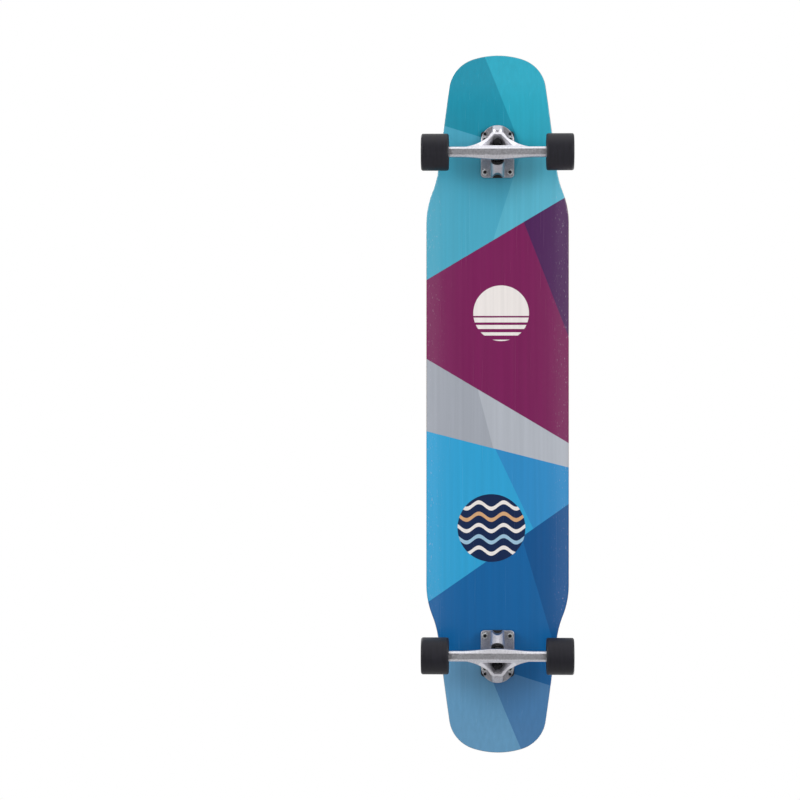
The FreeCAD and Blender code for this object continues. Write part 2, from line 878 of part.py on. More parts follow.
def ball_groove():
    groove = Part.makeTorus(ball_pitch_radius, ball_diameter / 2 + ball_clearance)
    return groove.translated(UP * (bearing_width / 2))


def bearing_inner_races():
    race = tube(race_inner_land, axle_bore, 0, bearing_width).cut(ball_groove())
    return both_sides(in_both_bearings(race))


def bearing_outer_races():
    race = tube(bearing_outside_diameter / 2, race_outer_land, 0, bearing_width).cut(ball_groove())
    return Part.Compound([on_axle(part) for part in in_both_bearings(race)])


def bearing_shields():
    shield = tube(race_outer_land, race_inner_land + shield_gap, 0, shield_thickness)
    far = bearing_width - shield_inset - shield_thickness
    pair = [shield.translated(UP * place) for place in (shield_inset, far)]
    return Part.Compound([on_axle(part) for one in pair for part in in_both_bearings(one)])


def ball_centres():
    middle = UP * (bearing_width / 2)
    return [polar(middle, ball_pitch_radius, 360 / ball_count * i) for i in range(ball_count)]


def bearing_balls():
    ball = Part.makeSphere(ball_diameter / 2)
    balls = [ball.translated(centre) for centre in ball_centres()]
    return Part.Compound([on_axle(part) for one in balls for part in in_both_bearings(one)])


def bearing_cages():
    low = (bearing_width - cage_width) / 2
    half = cage_thickness / 2
    cage = tube(ball_pitch_radius + half, ball_pitch_radius - half, low, low + cage_width)
    middle = UP * (bearing_width / 2)
    room_radius = ball_diameter / 2 + cage_clearance
    for centre in ball_centres():
        cage = cage.cut(Part.makeCylinder(room_radius, 2 * ball_pitch_radius, middle, centre - middle))
    return Part.Compound([on_axle(part) for part in in_both_bearings(cage)])


def wheel_core():
    """The hard hub inside the wheel: a sleeve with a bearing seat at each end and a rib outside."""
    seat = bearing_outside_diameter / 2 + fit_clearance
    middle = (core_start + core_end) / 2
    rib = core_rib_width / 2
    rib_radius = core_radius + core_rib_height
    core = turned([
        (race_outer_land, core_start),
        (core_radius, core_start),
        (core_radius, middle - rib),
        (rib_radius, middle - rib),
        (rib_radius, middle + rib),
        (core_radius, middle + rib),
        (core_radius, core_end),
        (race_outer_land, core_end),
    ])
    seat_depth = bearing_width + core_end_clearance
    for start in (core_start, second_bearing_start):
        core = core.cut(Part.makeCylinder(seat, seat_depth, UP * start))
    return on_axle(core)


def wheel():
    """The urethane tyre, cast round the core, with dished sides."""
    radius = wheel_diameter / 2
    lip = radius - wheel_lip_width
    bond = core_radius + fit_clearance
    floor = bond + wheel_recess_floor
    middle = (core_start + core_end) / 2
    rib = core_rib_width / 2 + fit_clearance
    rib_radius = bond + core_rib_height
    tyre = turned([
        (bond, core_start),
        (floor, core_start),
        (lip, wheel_start),
        (radius, wheel_start),
        (radius, wheel_end),
        (lip, wheel_end),
        (floor, core_end),
        (bond, core_end),
        (bond, middle + rib),
        (rib_radius, middle + rib),
        (rib_radius, middle - rib),
        (bond, middle - rib),
    ])
    tyre = rounded(tyre, wheel_edge_round, lambda edge: edge.Closed and edge.BoundBox.XMax > radius - SAME)
    return on_axle(tyre)


# Assembly

def at_front(shape):
    return shape.translated(FreeCAD.Vector(truck_centre, 0, plate_height))


def turned_round(shape, centre):
    moved = shape.copy()
    moved.rotate(centre, UP, 180)
    return moved


def write(name, shape):
    shape.exportStep(f"parts/{name}.step")


os.makedirs("parts", exist_ok=True)

for make in (deck, grip_tape):
    write(make.__name__, make())

truck_pieces = (
    riser_pad,
    mounting_bolts,
    mounting_nuts,
    baseplate,
    pivot_cup,
    kingpin,
    kingpin_nut,
    board_side_washer,
    board_side_bushing,
    road_side_washer,
    road_side_bushing,
    hanger,
    axle,
    axle_nuts,
    axle_washers,
    bearing_spacers,
    bearing_inner_races,
)
for make in truck_pieces:
    front = at_front(make())
    write(f"front_{make.__name__}", front)
    write(f"rear_{make.__name__}", turned_round(front, ORIGIN))

wheel_pieces = (wheel, wheel_core, bearing_outer_races, bearing_shields, bearing_balls, bearing_cages)
for make in wheel_pieces:
    front_left = at_front(make())
    front_right = turned_round(front_left, FreeCAD.Vector(truck_centre, 0, 0))
    write(f"front_left_{make.__name__}", front_left)
    write(f"front_right_{make.__name__}", front_right)
    write(f"rear_right_{make.__name__}", turned_round(front_left, ORIGIN))
    write(f"rear_left_{make.__name__}", turned_round(front_right, ORIGIN))
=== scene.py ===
import bmesh
import bpy
import json
import math
from mathutils import Matrix, Vector


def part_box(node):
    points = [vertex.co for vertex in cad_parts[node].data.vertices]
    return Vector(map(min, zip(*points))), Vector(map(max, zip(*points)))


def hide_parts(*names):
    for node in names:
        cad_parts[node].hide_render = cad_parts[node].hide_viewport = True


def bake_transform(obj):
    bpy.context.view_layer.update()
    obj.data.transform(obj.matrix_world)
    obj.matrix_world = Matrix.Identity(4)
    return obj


# A longboard seen from below, on a plain pale floor. Metres, +X to the nose, +Z up.
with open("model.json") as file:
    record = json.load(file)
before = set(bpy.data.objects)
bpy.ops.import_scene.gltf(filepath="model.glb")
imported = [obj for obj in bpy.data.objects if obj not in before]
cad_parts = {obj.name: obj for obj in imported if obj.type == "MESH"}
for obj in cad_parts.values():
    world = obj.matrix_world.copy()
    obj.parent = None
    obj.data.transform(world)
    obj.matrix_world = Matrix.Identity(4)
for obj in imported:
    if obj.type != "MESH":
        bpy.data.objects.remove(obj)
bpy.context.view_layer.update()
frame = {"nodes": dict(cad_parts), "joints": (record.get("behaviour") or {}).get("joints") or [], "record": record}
joints = {joint["name"]: joint for joint in frame["joints"]}

MM = 0.001

# Places on the board, from the frame
deck_low, deck_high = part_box("deck")
half_width = deck_high.y
deck_bottom = deck_low.z

# Deck, as it was pressed
deck_thickness = 11 * MM
flat_half = 38 * MM
rail_rise = 5 * MM
kick_start = 470 * MM
kick_angle = math.radians(18)
kick_bend_radius = 180 * MM
ply_count = 8

# Bushings, on both sides of the hanger's ring
ring_half = 4 * MM
bushing_bore = 5 * MM
board_bushing_height = 11 * MM
board_bushing_radius = 11.5 * MM
road_bushing_height = 8 * MM
road_bushing_radius = 9.5 * MM
road_bushing_taper = 1.2 * MM
bushing_edge_round = 1.5 * MM

# The hanger's pocket round the kingpin
pocket_reach = 32 * MM
pocket_rim_height = 31 * MM
pocket_edge = 2 * MM
pocket_roughness = 0.7

# Camera, under the middle of the board
camera_drop = 3.90
camera_lens_mm = 108.9
camera_far = 50
sensor_mm = 36.0
picture_px = 800
board_centre_px = (497.5, 404.0)


def linear(hex_colour):
    """An sRGB hex colour as linear red, green, blue and alpha."""
    channels = [int(hex_colour[i:i + 2], 16) / 255 for i in (1, 3, 5)]
    return [c / 12.92 if c <= 0.04045 else ((c + 0.055) / 1.055) ** 2.4 for c in channels] + [1.0]


def add(tree, kind, sockets, **settings):
    """Adds a node with its settings. Each socket gets a value, or a link from another node's output."""
    node = tree.nodes.new(kind)
    for name, value in settings.items():
        setattr(node, name, value)
    for name, value in sockets.items():
        if isinstance(value, bpy.types.NodeSocket):
            tree.links.new(value, node.inputs[name])
        else:
            node.inputs[name].default_value = value
    return node


def new_finish(name, **sockets):
    """A material with one principled shader, whose sockets start from the given values.

    Returns it with its node tree, its shader and the piece's own coordinates.
    """
    material = bpy.data.materials.new(name)
    material.use_nodes = True
    tree = material.node_tree
    shader = tree.nodes["Principled BSDF"]
    for socket, value in sockets.items():
        shader.inputs[socket.replace("_", " ")].default_value = value
    place = add(tree, "ShaderNodeTexCoord", {}).outputs["Object"]
    return material, tree, shader, place


# Most of a noise texture's values lie between these two
noise_low, noise_high = 0.3, 0.7


def grained(tree, shader, place, size, roughness, depth, stretch=(1, 1, 1)):
    """Lets a finish's roughness wander between two values, and its height by depth, in grains of a size.

    Returns the noise that the grains follow.
    """
    spot = add(tree, "ShaderNodeVectorMath", {0: place, 1: stretch}, operation="MULTIPLY").outputs[0]
    noise = add(tree, "ShaderNodeTexNoise", {"Vector": spot, "Scale": 1 / size, "Detail": 4.0}).outputs[0]
    limits = {0: noise, 1: noise_low, 2: noise_high, 3: roughness[0], 4: roughness[1]}
    wander = add(tree, "ShaderNodeMapRange", limits).outputs[0]
    tree.links.new(wander, shader.inputs["Roughness"])
    bump = add(tree, "ShaderNodeBump", {"Height": noise, "Distance": depth}).outputs[0]
    tree.links.new(bump, shader.inputs["Normal"])
    return noise


def toned(tree, shader, noise, low, high):
    """Tints a finish between two colours by a noise, and returns the tint."""
    share = add(tree, "ShaderNodeMapRange", {0: noise, 1: noise_low, 2: noise_high}).outputs[0]
    tones = {0: share, 6: linear(low), 7: linear(high)}
    tint = add(tree, "ShaderNodeMix", tones, data_type="RGBA").outputs[2]
    tree.links.new(tint, shader.inputs["Base Color"])
    return tint


# Printing in flat inks, as on the deck and on the grip sheet

ink_edge = 0.25 * MM
streak_stretch = (0.02, 1, 1)

# Flecks of wear: how softly they end, how much they cover, and where they start towards the rails
fleck_fade = 0.06
fleck_cover = 0.4
wear_start = 0.7 * half_width


def beside(tree, place, start, end):
    """A mask that is 1 on the left of a line walked from start to end, both (x, y), as seen from below."""
    along = Vector((end[0] - start[0], end[1] - start[1]))
    normal = Vector((along.y, -along.x)).normalized()
    offset = normal.x * start[0] + normal.y * start[1]
    sides = {0: place, 1: (normal.x, normal.y, 0)}
    reach = add(tree, "ShaderNodeVectorMath", sides, operation="DOT_PRODUCT").outputs["Value"]
    edges = {0: reach, 1: offset - ink_edge, 2: offset + ink_edge}
    return add(tree, "ShaderNodeMapRange", edges).outputs[0]


def disc(tree, place, centre, radius):
    """A mask that is 1 inside a circle on the board's plane."""
    flat = add(tree, "ShaderNodeVectorMath", {0: place, 1: (1, 1, 0)}, operation="MULTIPLY").outputs[0]
    ends = {0: flat, 1: (*centre, 0)}
    reach = add(tree, "ShaderNodeVectorMath", ends, operation="DISTANCE").outputs["Value"]
    edges = {0: reach, 1: radius + ink_edge, 2: radius - ink_edge}
    return add(tree, "ShaderNodeMapRange", edges).outputs[0]


def band(tree, place, axis, middle, half, wave_height=0.0, wave_length=1.0):
    """A mask that is 1 on a band across an axis, 0 for X or 1 for Y. Its middle line may be wavy."""
    split = add(tree, "ShaderNodeSeparateXYZ", {0: place}).outputs
    turns = 2 * math.pi / wave_length
    phase = add(tree, "ShaderNodeMath", {0: split[1 - axis], 1: turns}, operation="MULTIPLY").outputs[0]
    swell = add(tree, "ShaderNodeMath", {0: phase}, operation="SINE").outputs[0]
    swing = {0: swell, 1: wave_height, 2: middle}
    line = add(tree, "ShaderNodeMath", swing, operation="MULTIPLY_ADD").outputs[0]
    off = add(tree, "ShaderNodeMath", {0: split[axis], 1: line}, operation="SUBTRACT").outputs[0]
    off = add(tree, "ShaderNodeMath", {0: off}, operation="ABSOLUTE").outputs[0]
    return add(tree, "ShaderNodeMapRange", {0: off, 1: half + ink_edge, 2: half - ink_edge}).outputs[0]


def flecks(tree, place, size, stretch, rarity):
    """A mask of scattered flecks of a size, stretched by (x, y, z). A higher rarity leaves fewer."""
    spot = add(tree, "ShaderNodeVectorMath", {0: place, 1: stretch}, operation="MULTIPLY").outputs[0]
    noise = add(tree, "ShaderNodeTexNoise", {"Vector": spot, "Scale": 1 / size, "Detail": 2.0}).outputs[0]
    limits = {0: noise, 1: rarity, 2: rarity + fleck_fade, 4: fleck_cover}
    return add(tree, "ShaderNodeMapRange", limits).outputs[0]


def printed(tree, ground, ink, *masks):
    """Prints an ink over a ground where all the masks are 1."""
    cover = masks[0]
    for mask in masks[1:]:
        cover = add(tree, "ShaderNodeMath", {0: cover, 1: mask}, operation="MULTIPLY").outputs[0]
    return add(tree, "ShaderNodeMix", {0: cover, 6: ground, 7: linear(ink)}, data_type="RGBA").outputs[2]


def streaked(tree, place, colour, width, shares):
    """Lets a colour's brightness wander between two shares in streaks of a width along the board."""
    spot = add(tree, "ShaderNodeVectorMath", {0: place, 1: streak_stretch}, operation="MULTIPLY").outputs[0]
    noise = add(tree, "ShaderNodeTexNoise", {"Vector": spot, "Scale": 1 / width, "Detail": 4.0}).outputs[0]
    limits = {0: noise, 1: noise_low, 2: noise_high, 3: shares[0], 4: shares[1]}
    share = add(tree, "ShaderNodeMapRange", limits).outputs[0]
    return add(tree, "ShaderNodeHueSaturation", {"Value": share, "Color": colour}).outputs[0]


def near_rails(tree, place):
    """A mask that grows to 1 towards the board's two long edges."""
    across = add(tree, "ShaderNodeSeparateXYZ", {0: place}).outputs[1]
    off = add(tree, "ShaderNodeMath", {0: across}, operation="ABSOLUTE").outputs[0]
    return add(tree, "ShaderNodeMapRange", {0: off, 1: wear_start, 2: half_width}).outputs[0]


# Deck: maple veneers under a clear lacquer, screen printed below

sun_centre = (150 * MM, 6 * MM)
sun_radius = 46 * MM
wave_centre = (-205 * MM, -10 * MM)
wave_radius = 56 * MM
# The print's streaks along the board are painted sheen: lighter and darker bands of the lacquer's reflection.
print_sheen_streak = 5 * MM
print_sheen_shares = (0.96, 1.05)
print_wear = 1.4 * MM
print_wear_stretch = (0.25, 1, 1)
print_wear_rarity = 0.66
lacquer_drag = 3 * MM
lacquer_depth = 0.003 * MM

# The print wraps up the rail's rounding. It thins out between these heights of the skin's normal.
print_end, print_full = -0.40, -0.60


def underside_print(tree, place):
    """Straight-edged colour blocks from nose to tail, each in two tones, a barred sun and a wave disc."""
    left, right = -half_width, half_width
    # Each block's ink and border, and its second ink with that one's border
    blocks = (
        ("#4aa8c4", (0.395, right), (0.470, left), "#59b4cd", (0.480, 0.06), (0.200, -0.03)),
        ("#7b1e58", (0.345, right), (0.205, left), "#4f2459", (0.360, 0.02), (0.110, right)),
        ("#a4a9b3", (-0.065, right), (0.075, left), "#b4b9c2", (0.090, -0.05), (-0.100, 0.0)),
        ("#2fa3d6", (-0.105, right), (-0.045, left), "#2f8dc8", (-0.040, -0.02), (-0.330, right)),
        ("#1264a3", (-0.165, right), (-0.330, left), "#0f5591", (-0.120, 0.01), (-0.480, right)),
        # The tail block's inks are painted lighter than printed, as painted light that evens out the dimmer light
        # at the tail.
        ("#6aa3cb", (-0.475, right), (-0.400, left), "#4d83b6", (-0.380, -0.04), (-0.600, 0.05)),
    )
    nose_facet = beside(tree, place, (0.600, -0.03), (0.395, 0.05))
    colour = printed(tree, linear("#1b8fa9"), "#2ba7c0", nose_facet)
    for ink, start, end, second_ink, second_start, second_end in blocks:
        block = beside(tree, place, start, end)
        facet = beside(tree, place, second_start, second_end)
        colour = printed(tree, colour, ink, block)
        colour = printed(tree, colour, second_ink, block, facet)
    colour = barred_sun(tree, place, colour)
    colour = wave_disc(tree, place, colour)
    # Painted sheen: the print's brightness wanders in streaks along the board.
    return streaked(tree, place, colour, print_sheen_streak, print_sheen_shares)


def barred_sun(tree, place, ground):
    """A pale sun whose tail half is cut by bars that widen towards the tail."""
    bar_count = 4
    first_half = 0.03 * sun_radius
    growth = 0.015 * sun_radius
    sun = disc(tree, place, sun_centre, sun_radius)
    for i in range(bar_count):
        middle = sun_centre[0] - sun_radius * (0.5 + i) / bar_count
        bar = band(tree, place, 0, middle, first_half + growth * i)
        clear = add(tree, "ShaderNodeMath", {0: 1.0, 1: bar}, operation="SUBTRACT").outputs[0]
        sun = add(tree, "ShaderNodeMath", {0: sun, 1: clear}, operation="MULTIPLY").outputs[0]
    return printed(tree, ground, "#efe9e6", sun)


def wave_disc(tree, place, ground):
    """A dark round with pale and sandy swells across it."""
    inks = ("#efe9e6", "#d8a97c", "#efe9e6", "#9fc4dc", "#efe9e6")
    pitch = 2 * wave_radius / (len(inks) + 1)
    line_half = 0.17 * pitch
    swell_height = 0.28 * pitch
    swell_length = 2.2 * pitch
    inside = disc(tree, place, wave_centre, wave_radius)
    colour = printed(tree, ground, "#14284f", inside)
    for i, ink in enumerate(inks):
        middle = wave_centre[0] + wave_radius - pitch * (i + 1)
        swell = band(tree, place, 0, middle, line_half, swell_height, swell_length)
        colour = printed(tree, colour, ink, inside, swell)
    return colour


def lacquered_maple():
    """Clear lacquer over pale veneers: a satin gloss with a faint drag along the board.

    The rim shows the plies' edges. The lower skin takes the print, which is worn in flecks at the rails.
    """
    material, tree, shader, place = new_finish("lacquered_maple", IOR=1.5, Specular_IOR_Level=0.35)
    grained(tree, shader, place, lacquer_drag, (0.18, 0.28), lacquer_depth, streak_stretch)
    normal = tree.nodes["Texture Coordinate"].outputs["Normal"]
    facing = add(tree, "ShaderNodeSeparateXYZ", {0: normal}).outputs[2]
    lower_skin = add(tree, "ShaderNodeMapRange", {0: facing, 1: print_end, 2: print_full}).outputs[0]
    worn = flecks(tree, place, print_wear, print_wear_stretch, print_wear_rarity)
    ink = printed(tree, underside_print(tree, place), "#d3c8dc", worn, near_rails(tree, place))
    skins = {0: lower_skin, 6: plies(tree, place), 7: ink}
    colour = add(tree, "ShaderNodeMix", skins, data_type="RGBA").outputs[2]
    tree.links.new(colour, shader.inputs["Base Color"])
    return material


def above_lower_skin(tree, place):
    """The height over the deck's lower skin, which curves up at the rails and at the kicks."""
    size = add(tree, "ShaderNodeVectorMath", {0: place}, operation="ABSOLUTE").outputs[0]
    split = add(tree, "ShaderNodeSeparateXYZ", {0: size}).outputs
    concave_run = half_width - flat_half
    past_flat = add(tree, "ShaderNodeMath", {0: split[1], 1: flat_half}, operation="SUBTRACT").outputs[0]
    past_flat = add(tree, "ShaderNodeMath", {0: past_flat, 1: 0.0}, operation="MAXIMUM").outputs[0]
    rail_curve = add(tree, "ShaderNodeMath", {0: past_flat, 1: 2.0}, operation="POWER").outputs[0]
    bend = kick_bend_radius + deck_thickness
    bend_run = bend * math.sin(kick_angle)
    bend_rise = bend * (1 - math.cos(kick_angle))
    past_bend = add(tree, "ShaderNodeMath", {0: split[0], 1: kick_start}, operation="SUBTRACT").outputs[0]
    run = {0: past_bend, 1: 0.0, 2: bend_run, 3: 0.0, 4: bend_run}
    on_bend = add(tree, "ShaderNodeMapRange", run).outputs[0]
    bend_curve = add(tree, "ShaderNodeMath", {0: on_bend, 1: 2.0}, operation="POWER").outputs[0]
    past_kick = add(tree, "ShaderNodeMath", {0: past_bend, 1: bend_run}, operation="SUBTRACT").outputs[0]
    past_kick = add(tree, "ShaderNodeMath", {0: past_kick, 1: 0.0}, operation="MAXIMUM").outputs[0]
    level = add(tree, "ShaderNodeMath", {0: split[2], 1: deck_bottom}, operation="SUBTRACT").outputs[0]
    rises = (
        (rail_curve, rail_rise / concave_run ** 2),
        (bend_curve, bend_rise / bend_run ** 2),
        (past_kick, math.tan(kick_angle)),
    )
    for curve, share in rises:
        drop = {0: curve, 1: -share, 2: level}
        level = add(tree, "ShaderNodeMath", drop, operation="MULTIPLY_ADD").outputs[0]
    return level


def plies(tree, place):
    """Veneers of slightly different tones, with a fine grain along the board and dark glue lines."""
    grain_width = 2 * MM
    grain_stretch = (0.06, 1, 1)
    grain_share = 0.6
    glue_share = 0.16
    glue_full = 0.06
    per_metre = ply_count / deck_thickness
    level = above_lower_skin(tree, place)
    ply = add(tree, "ShaderNodeMath", {0: level, 1: per_metre}, operation="MULTIPLY").outputs[0]
    number = add(tree, "ShaderNodeMath", {0: ply}, operation="FLOOR").outputs[0]
    tone = add(tree, "ShaderNodeTexWhiteNoise", {"W": number}, noise_dimensions="1D").outputs["Value"]
    spot = add(tree, "ShaderNodeVectorMath", {0: place, 1: grain_stretch}, operation="MULTIPLY").outputs[0]
    grain = {"Vector": spot, "Scale": 1 / grain_width, "Detail": 5.0}
    grain = add(tree, "ShaderNodeTexNoise", grain).outputs[0]
    shade = {0: grain, 1: grain_share, 2: tone}
    shade = add(tree, "ShaderNodeMath", shade, operation="MULTIPLY_ADD").outputs[0]
    veneer = {0: shade, 6: linear("#cfa880"), 7: linear("#ecd6b8")}
    wood = add(tree, "ShaderNodeMix", veneer, data_type="RGBA").outputs[2]
    part = add(tree, "ShaderNodeMath", {0: ply}, operation="FRACT").outputs[0]
    glue = add(tree, "ShaderNodeMapRange", {0: part, 1: glue_share, 2: glue_full}).outputs[0]
    return printed(tree, wood, "#8a6544", glue)


# Grip sheet, printed in blocks with a stripe along the board and one bar

stripe_y = 2.9 * MM
stripe_half = 2.35 * MM
bar_middle = -244.9 * MM
bar_half = 25.8 * MM
nose_line = ((426.5 * MM, 85.8 * MM), (511.4 * MM, -75.3 * MM))
green_line = ((-114.3 * MM, 116.1 * MM), (43.8 * MM, -115.2 * MM))
grip_grit = 1 * MM
grip_grit_depth = 0.15 * MM
grip_streak = 8 * MM
grip_shares = (0.96, 1.04)
grip_wear = 1.2 * MM
grip_wear_rarity = 0.76


def printed_grip_sheet():
    """Emery cloth in flat inks: dull, with a grit that breaks up the light.

    The grit is drawn at 1 mm to show.
    """
    material, tree, shader, place = new_finish("printed_grip_sheet", Specular_IOR_Level=0.3)
    grey = beside(tree, place, *nose_line)
    green = beside(tree, place, *green_line)
    past_stripe = beside(tree, place, (1, stripe_y), (-1, stripe_y))
    bar = band(tree, place, 0, bar_middle, bar_half)
    stripe = band(tree, place, 1, stripe_y, stripe_half)
    worn = flecks(tree, place, grip_wear, (1, 1, 1), grip_wear_rarity)
    colour = printed(tree, linear("#23222a"), "#4e4c52", grey)
    colour = printed(tree, colour, "#259a86", green)
    colour = printed(tree, colour, "#1c2023", bar, past_stripe)
    colour = printed(tree, colour, "#ece5e3", stripe, green)
    colour = printed(tree, colour, "#b4b6b4", worn, near_rails(tree, place))
    colour = streaked(tree, place, colour, grip_streak, grip_shares)
    tree.links.new(colour, shader.inputs["Base Color"])
    grained(tree, shader, place, grip_grit, (0.75, 0.95), grip_grit_depth)
    return material


# Trucks and wheels. Their grains are finer than a pixel, so they are drawn at 1 to 3 mm to show.

def kingpin_pocket(tree, place):
    """A mask that is 1 on the hanger's walls round the kingpin, which face it and lie above the rim."""
    ring = Vector(joints["front_steer"]["pos_m"])
    steer = Vector(joints["front_steer"]["axis"])
    kingpin = (steer.z, 0, -steer.x)
    normal = tree.nodes["Texture Coordinate"].outputs["Normal"]
    split = add(tree, "ShaderNodeSeparateXYZ", {0: place}).outputs
    # The rear truck is folded onto the front one
    outward = add(tree, "ShaderNodeMath", {0: split[0]}, operation="SIGN").outputs[0]
    fold = add(tree, "ShaderNodeCombineXYZ", {0: outward, 1: 1.0, 2: 1.0}).outputs[0]
    spot = add(tree, "ShaderNodeVectorMath", {0: place, 1: fold}, operation="MULTIPLY").outputs[0]
    face = add(tree, "ShaderNodeVectorMath", {0: normal, 1: fold}, operation="MULTIPLY").outputs[0]
    from_ring = add(tree, "ShaderNodeVectorMath", {0: spot, 1: ring}, operation="SUBTRACT").outputs[0]
    drop = add(tree, "ShaderNodeVectorMath", {0: from_ring, 1: kingpin}, operation="PROJECT").outputs[0]
    radial = add(tree, "ShaderNodeVectorMath", {0: from_ring, 1: drop}, operation="SUBTRACT").outputs[0]
    away = add(tree, "ShaderNodeVectorMath", {0: radial, 1: face}, operation="DOT_PRODUCT").outputs["Value"]
    reach = add(tree, "ShaderNodeVectorMath", {0: radial}, operation="LENGTH").outputs["Value"]
    inside = add(tree, "ShaderNodeMapRange", {0: away, 1: 0.0, 2: -pocket_edge}).outputs[0]
    limits = (
        {0: reach, 1: pocket_reach + pocket_edge, 2: pocket_reach},
        {0: split[2], 1: pocket_rim_height, 2: pocket_rim_height + pocket_edge},
    )
    for limit in limits:
        within = add(tree, "ShaderNodeMapRange", limit).outputs[0]
        inside = add(tree, "ShaderNodeMath", {0: inside, 1: within}, operation="MULTIPLY").outputs[0]
    return inside


def tumbled_aluminium():
    """Cast aluminium, tumbled bright: a soft metal shine with a pebbled skin, drawn at 2.5 mm to show.

    The tumbling stones don't reach into the pocket round the kingpin, which stays dull. Its walls get a painted
    highlight, a paler grey.
    """
    material, tree, shader, place = new_finish("tumbled_aluminium", Metallic=1.0)
    noise = grained(tree, shader, place, 2.5 * MM, (0.28, 0.36), 0.03 * MM)
    tint = toned(tree, shader, noise, "#c0bfc5", "#dddce2")
    pocket = kingpin_pocket(tree, place)
    shine = shader.inputs["Roughness"].links[0].from_socket
    dulled = add(tree, "ShaderNodeMix", {0: pocket, 2: shine, 3: pocket_roughness}).outputs[0]
    tree.links.new(dulled, shader.inputs["Roughness"])
    # Painted highlight: the pocket's walls are mixed towards a paler grey, as if lit.
    tree.links.new(printed(tree, tint, "#f0eff4", pocket), shader.inputs["Base Color"])
    return material


def shade_painted_aluminium():
    """Cast aluminium with a deeper skin, drawn at 1.8 mm to show, in a darker grey that is painted shade for the
    baseplate under the hanger.
    """
    material, tree, shader, place = new_finish("shade_painted_aluminium", Metallic=1.0)
    noise = grained(tree, shader, place, 1.8 * MM, (0.28, 0.40), 0.05 * MM)
    toned(tree, shader, noise, "#a3a2a9", "#cbcad1")
    return material


def zinc_plated_steel():
    """Bright zinc plate on steel: a cool, near mirror shine that sets a nut's facets apart."""
    material, tree, shader, place = new_finish("zinc_plated_steel", Metallic=1.0)
    noise = grained(tree, shader, place, 1.5 * MM, (0.08, 0.18), 0.02 * MM)
    toned(tree, shader, noise, "#d2d5d8", "#eceff2")
    return material


def black_oxide_steel():
    """Steel blackened in a hot bath: almost black, with a low sheen on its edges."""
    material, tree, shader, place = new_finish("black_oxide_steel", Metallic=0.8)
    noise = grained(tree, shader, place, 1.5 * MM, (0.35, 0.5), 0.02 * MM)
    toned(tree, shader, noise, "#131315", "#1f1f22")
    return material


def ground_bearing_steel():
    """Hard steel, ground smooth: a clear grey shine on the races and the balls."""
    material, tree, shader, place = new_finish("ground_bearing_steel", Metallic=1.0)
    noise = grained(tree, shader, place, 1 * MM, (0.12, 0.24), 0.01 * MM)
    toned(tree, shader, noise, "#b9bbbd", "#d0d2d4")
    return material


def pressed_steel_shield():
    """Thin pressed sheet: a softer, darker shine than the races round it."""
    material, tree, shader, place = new_finish("pressed_steel_shield", Metallic=1.0)
    noise = grained(tree, shader, place, 1 * MM, (0.28, 0.42), 0.02 * MM)
    toned(tree, shader, noise, "#9b9da0", "#b6b8bb")
    return material


def cast_urethane(name, low, high, roughness, size, stretch=(1, 1, 1)):
    """Poured polyurethane: a dense, satin skin whose sheen wanders a little."""
    material, tree, shader, place = new_finish(name, IOR=1.5, Specular_IOR_Level=0.3)
    noise = grained(tree, shader, place, size, roughness, 0.03 * MM, stretch)
    toned(tree, shader, noise, low, high)
    return material


def moulded_plastic(name, low, high):
    """Moulded plastic: an even, matt black with the faint pebbling of its mould."""
    material, tree, shader, place = new_finish(name, IOR=1.53)
    noise = grained(tree, shader, place, 1.2 * MM, (0.45, 0.6), 0.03 * MM)
    toned(tree, shader, noise, low, high)
    return material


# A wheel is turned on its axle, so its grain runs round the tread
turned = (0.1, 1, 0.1)
wheel_skin = ("#121118", "#1d1c25", (0.42, 0.55), 3 * MM, turned)

finishes = {
    "deck_maple": lacquered_maple(),
    "grip_sheet": printed_grip_sheet(),
    "riser_plastic": moulded_plastic("moulded_polyethylene", "#121214", "#1b1b1e"),
    "black_bolts": black_oxide_steel(),
    "zinc_hardware": zinc_plated_steel(),
    "cast_aluminium": tumbled_aluminium(),
    "pivot_cup_urethane": cast_urethane("pivot_cup_urethane", "#111113", "#1a1a1d", (0.4, 0.55), 2 * MM),
    "bushing_urethane": cast_urethane("bushing_urethane", "#121214", "#1b1b1e", (0.35, 0.5), 2 * MM),
    "wheel_urethane": cast_urethane("wheel_urethane", *wheel_skin),
    "core_nylon": moulded_plastic("core_nylon", "#141416", "#1e1e21"),
    "bearing_steel": ground_bearing_steel(),
    "bearing_shield": pressed_steel_shield(),
}
# The baseplates get the darker grey of the same aluminium: painted shade where they sit under the hangers.
baseplate_painted_shade_finish = shade_painted_aluminium()
for subpart in frame["record"]["subparts"]:
    node = frame["nodes"][subpart["node"]]
    finish = baseplate_painted_shade_finish if "baseplate" in subpart["node"] else finishes[subpart["material_slot"]]
    node.data.materials.clear()
    node.data.materials.append(finish)


# Bushings, which give between the hanger and the kingpin's washers

lathe_segments = 48
side_steps = 12
rim_steps = 4


def lathe(name, profile, foot, direction, slot):
    """A closed solid of revolution from (radius, height) points, standing on foot along direction."""
    mesh = bpy.data.meshes.new(name)
    shape = bmesh.new()
    loop = [shape.verts.new((radius, 0, height)) for radius, height in profile]
    edges = [shape.edges.new((loop[i - 1], loop[i])) for i in range(len(loop))]
    bmesh.ops.spin(
        shape, geom=loop + edges, cent=(0, 0, 0), axis=(0, 0, 1), angle=2 * math.pi, steps=lathe_segments,
        use_merge=True,
    )
    bmesh.ops.recalc_face_normals(shape, faces=shape.faces)
    shape.to_mesh(mesh)
    shape.free()
    mesh.shade_smooth()
    turn = direction.to_track_quat("Z", "Y").to_matrix().to_4x4()
    mesh.transform(Matrix.Translation(foot) @ turn)
    piece = bpy.data.objects.new(name, mesh)
    bpy.context.scene.collection.objects.link(piece)
    mesh.materials.append(finishes[slot])
    return piece


